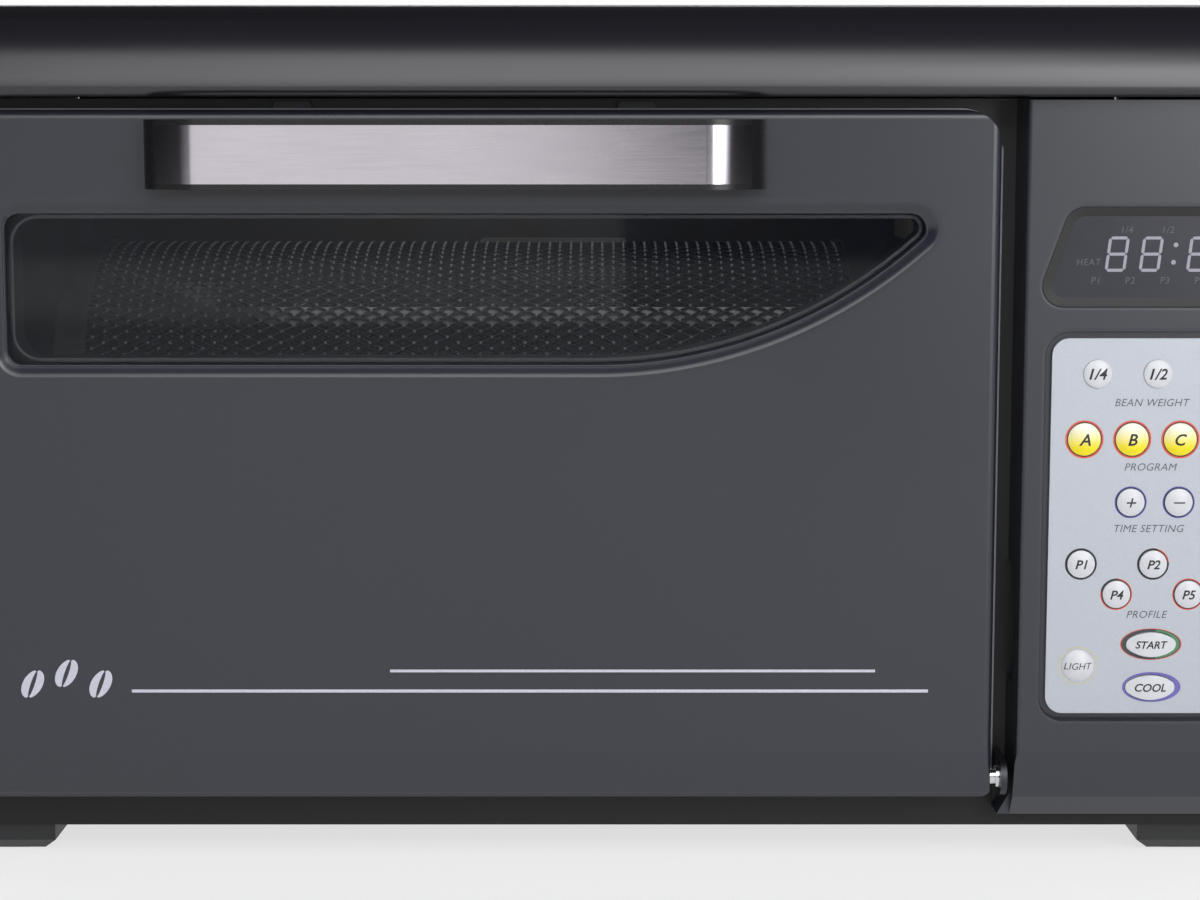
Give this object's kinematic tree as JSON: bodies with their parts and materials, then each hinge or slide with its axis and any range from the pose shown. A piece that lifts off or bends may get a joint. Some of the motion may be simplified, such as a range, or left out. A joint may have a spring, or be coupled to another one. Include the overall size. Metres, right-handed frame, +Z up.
{
  "type": "home coffee bean roaster",
  "caption": "Countertop coffee roaster with drop-down windowed door, key panel, and a motor-turned mesh drum with hatch over a chaff tray.",
  "frame": {"origin": "middle of the footprint at the height of the table", "axes": "+X to the right seen from the front, front towards -Y, +Z up"},
  "size_m": [0.4516, 0.3306, 0.28],
  "materials": {
    "cabinet_paint": "satin near-black stove paint, fine texture",
    "base_paint": "satin black paint",
    "feet_plastic": "moulded black plastic",
    "rubber_pads": "dark silicone rubber",
    "oven_steel": "aluminised sheet steel, lightly heat-tinted",
    "bracket_steel": "zinc-plated steel",
    "bright_steel": "bright turned steel",
    "quartz": "frosted quartz tube",
    "heater_ceramic": "unglazed ceramic",
    "lamp_glass": "clear lamp glass",
    "motor_paint": "zinc-plated gearbox and can",
    "fan_plastic": "black glass-filled nylon",
    "gland_plastic": "black nylon",
    "panel_plastic": "satin charcoal moulding, fine texture",
    "lens_plastic": "smoked clear acrylic",
    "board": "green circuit board",
    "key_plate_film": "silver satin film",
    "silver_keys": "silver domed keys with printed rings",
    "yellow_keys": "yellow domed keys with printed rings",
    "door_paint": "satin charcoal stove paint, fine texture",
    "liner_steel": "bright sheet steel",
    "door_glass": "dark tinted tempered glass",
    "handle_plastic": "black moulded handle",
    "handle_steel": "brushed stainless strip",
    "drum_steel": "stainless steel, woven and pressed"
  },
  "bodies": {
    "cabinet": {"outer_cover": "cabinet_paint", "base_pan": "base_paint", "feet": "feet_plastic", "foot_pads": "rubber_pads", "back_panel": "base_paint", "front_frame": "base_paint", "oven_liner": "oven_steel", "hinge_ears": "bracket_steel", "hinge_pins": "bright_steel", "door_bumpers": "rubber_pads", "chaff_tray": "oven_steel", "drum_cradle": "bracket_steel", "heater_tubes": "quartz", "heater_caps": "heater_ceramic", "heater_reflector": "oven_steel", "heater_guard": "bracket_steel", "exhaust_baffle": "oven_steel", "exhaust_duct": "oven_steel", "oven_lamp": "lamp_glass", "gear_motor": "motor_paint", "fan_frame": "fan_plastic", "cord_gland": "gland_plastic", "cabinet_screws": "bright_steel", "control_panel": "panel_plastic", "display_lens": "lens_plastic", "control_board": "board", "key_plate": "key_plate_film"},
    "door": {"door_skin": "door_paint", "door_liner": "liner_steel", "door_glass": "door_glass", "handle_core": "handle_plastic", "handle_strip": "handle_steel", "door_screws": "bright_steel", "door_springs": "bracket_steel"},
    "drum": {"drum_mesh": "drum_steel", "drum_ends": "drum_steel", "drum_vanes": "drum_steel", "hatch_pin": "bright_steel"},
    "hatch": {"drum_hatch": "drum_steel"},
    "latch": {"hatch_latch": "drum_steel"},
    "drive": {"drive_coupler": "bright_steel"},
    "fan": {"fan_rotor": "fan_plastic"},
    "key_quarter": {"key_quarter": "silver_keys"},
    "key_half": {"key_half": "silver_keys"},
    "key_full": {"key_full": "silver_keys"},
    "key_a": {"key_a": "yellow_keys"},
    "key_b": {"key_b": "yellow_keys"},
    "key_c": {"key_c": "yellow_keys"},
    "key_d": {"key_d": "yellow_keys"},
    "key_plus": {"key_plus": "silver_keys"},
    "key_minus": {"key_minus": "silver_keys"},
    "key_p1": {"key_p1": "silver_keys"},
    "key_p2": {"key_p2": "silver_keys"},
    "key_p3": {"key_p3": "silver_keys"},
    "key_p4": {"key_p4": "silver_keys"},
    "key_p5": {"key_p5": "silver_keys"},
    "key_start": {"key_start": "silver_keys"},
    "key_cool": {"key_cool": "silver_keys"},
    "key_light": {"key_light": "silver_keys"},
    "key_off": {"key_off": "silver_keys"}
  },
  "joints": [
    {"name": "door_hinge", "type": "hinge", "parent": "cabinet", "child": "door", "pos_m": [0, -0.13325, 0.03], "axis": [1, 0, 0], "range_deg": [0, 86], "stiffness_Nm_per_rad": 0.5, "springref_deg": -34.38},
    {"name": "drum_spin", "type": "hinge", "parent": "cabinet", "child": "drum", "pos_m": [0, -0.00925, 0.128], "axis": [1, 0, 0], "continuous": true},
    {"name": "drive_spin", "type": "hinge", "parent": "cabinet", "child": "drive", "pos_m": [0, -0.00925, 0.128], "axis": [1, 0, 0], "continuous": true},
    {"name": "hatch_hinge", "type": "hinge", "parent": "drum", "child": "hatch", "pos_m": [0, -0.05385, 0.06945], "axis": [1, 0, 0], "range_deg": [0, 38]},
    {"name": "latch_turn", "type": "hinge", "parent": "hatch", "child": "latch", "pos_m": [-0.04385, -0.08231, 0.12353], "axis": [0, -0.9981, -0.061], "range_deg": [0, 90]},
    {"name": "fan_spin", "type": "hinge", "parent": "cabinet", "child": "fan", "pos_m": [0, 0.10075, 0.202], "axis": [1, 0, 0], "continuous": true},
    {"name": "key_quarter_press", "type": "slide", "parent": "cabinet", "child": "key_quarter", "axis": [0, 1, 0], "range_m": [0, 0.0006], "stiffness_N_per_m": 300, "springref_m": -0.0005},
    {"name": "key_half_press", "type": "slide", "parent": "cabinet", "child": "key_half", "axis": [0, 1, 0], "range_m": [0, 0.0006], "stiffness_N_per_m": 300, "springref_m": -0.0005},
    {"name": "key_full_press", "type": "slide", "parent": "cabinet", "child": "key_full", "axis": [0, 1, 0], "range_m": [0, 0.0006], "stiffness_N_per_m": 300, "springref_m": -0.0005},
    {"name": "key_a_press", "type": "slide", "parent": "cabinet", "child": "key_a", "axis": [0, 1, 0], "range_m": [0, 0.0006], "stiffness_N_per_m": 300, "springref_m": -0.0005},
    {"name": "key_b_press", "type": "slide", "parent": "cabinet", "child": "key_b", "axis": [0, 1, 0], "range_m": [0, 0.0006], "stiffness_N_per_m": 300, "springref_m": -0.0005},
    {"name": "key_c_press", "type": "slide", "parent": "cabinet", "child": "key_c", "axis": [0, 1, 0], "range_m": [0, 0.0006], "stiffness_N_per_m": 300, "springref_m": -0.0005},
    {"name": "key_d_press", "type": "slide", "parent": "cabinet", "child": "key_d", "axis": [0, 1, 0], "range_m": [0, 0.0006], "stiffness_N_per_m": 300, "springref_m": -0.0005},
    {"name": "key_plus_press", "type": "slide", "parent": "cabinet", "child": "key_plus", "axis": [0, 1, 0], "range_m": [0, 0.0006], "stiffness_N_per_m": 300, "springref_m": -0.0005},
    {"name": "key_minus_press", "type": "slide", "parent": "cabinet", "child": "key_minus", "axis": [0, 1, 0], "range_m": [0, 0.0006], "stiffness_N_per_m": 300, "springref_m": -0.0005},
    {"name": "key_p1_press", "type": "slide", "parent": "cabinet", "child": "key_p1", "axis": [0, 1, 0], "range_m": [0, 0.0006], "stiffness_N_per_m": 300, "springref_m": -0.0005},
    {"name": "key_p2_press", "type": "slide", "parent": "cabinet", "child": "key_p2", "axis": [0, 1, 0], "range_m": [0, 0.0006], "stiffness_N_per_m": 300, "springref_m": -0.0005},
    {"name": "key_p3_press", "type": "slide", "parent": "cabinet", "child": "key_p3", "axis": [0, 1, 0], "range_m": [0, 0.0006], "stiffness_N_per_m": 300, "springref_m": -0.0005},
    {"name": "key_p4_press", "type": "slide", "parent": "cabinet", "child": "key_p4", "axis": [0, 1, 0], "range_m": [0, 0.0006], "stiffness_N_per_m": 300, "springref_m": -0.0005},
    {"name": "key_p5_press", "type": "slide", "parent": "cabinet", "child": "key_p5", "axis": [0, 1, 0], "range_m": [0, 0.0006], "stiffness_N_per_m": 300, "springref_m": -0.0005},
    {"name": "key_start_press", "type": "slide", "parent": "cabinet", "child": "key_start", "axis": [0, 1, 0], "range_m": [0, 0.0006], "stiffness_N_per_m": 300, "springref_m": -0.0005},
    {"name": "key_cool_press", "type": "slide", "parent": "cabinet", "child": "key_cool", "axis": [0, 1, 0], "range_m": [0, 0.0006], "stiffness_N_per_m": 300, "springref_m": -0.0005},
    {"name": "key_light_press", "type": "slide", "parent": "cabinet", "child": "key_light", "axis": [0, 1, 0], "range_m": [0, 0.0006], "stiffness_N_per_m": 300, "springref_m": -0.0005},
    {"name": "key_off_press", "type": "slide", "parent": "cabinet", "child": "key_off", "axis": [0, 1, 0], "range_m": [0, 0.0006], "stiffness_N_per_m": 300, "springref_m": -0.0005}
  ],
  "couplings": [
    {"joint": "drive_spin", "follows": "drum_spin", "ratio": 1}
  ]
}
